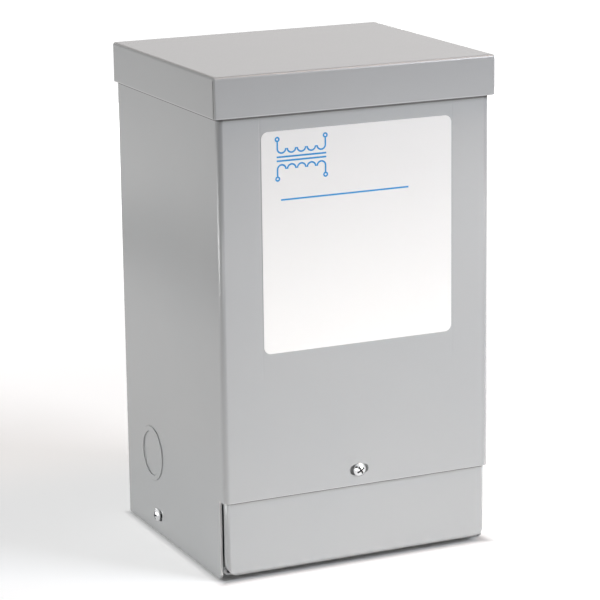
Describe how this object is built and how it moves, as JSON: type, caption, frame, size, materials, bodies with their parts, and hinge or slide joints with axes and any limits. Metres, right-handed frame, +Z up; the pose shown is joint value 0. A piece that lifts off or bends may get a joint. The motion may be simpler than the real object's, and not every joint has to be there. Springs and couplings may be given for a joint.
{
  "type": "wall-mounted dry-type transformer",
  "caption": "Small dry-type transformer in a folded sheet-steel case with a skirted cap, potted core, screwed wiring cover, conduit knockouts and keyholes for hanging on a wall.",
  "frame": {"origin": "bottom centre of the overall box, on the floor the case stands on", "axes": "+Z up; the front with the label faces -Y; the back panel that goes on a wall faces +Y; +X is to the right seen from the front"},
  "size_m": [0.1498, 0.1314, 0.25],
  "materials": {
    "case_paint": "satin light grey enamel on steel sheet",
    "potting": "cast sand-filled resin",
    "label": "smooth white film",
    "screw_zinc": "bright zinc plate"
  },
  "bodies": {
    "root": {"case_wrap": "case_paint", "back_panel": "case_paint", "top_cap": "case_paint", "wiring_cover": "case_paint", "left_knockout": "case_paint", "right_knockout": "case_paint", "potted_core": "potting", "front_label": "label", "front_screw": "screw_zinc", "left_screw": "screw_zinc", "right_screw": "screw_zinc"}
  },
  "joints": []
}
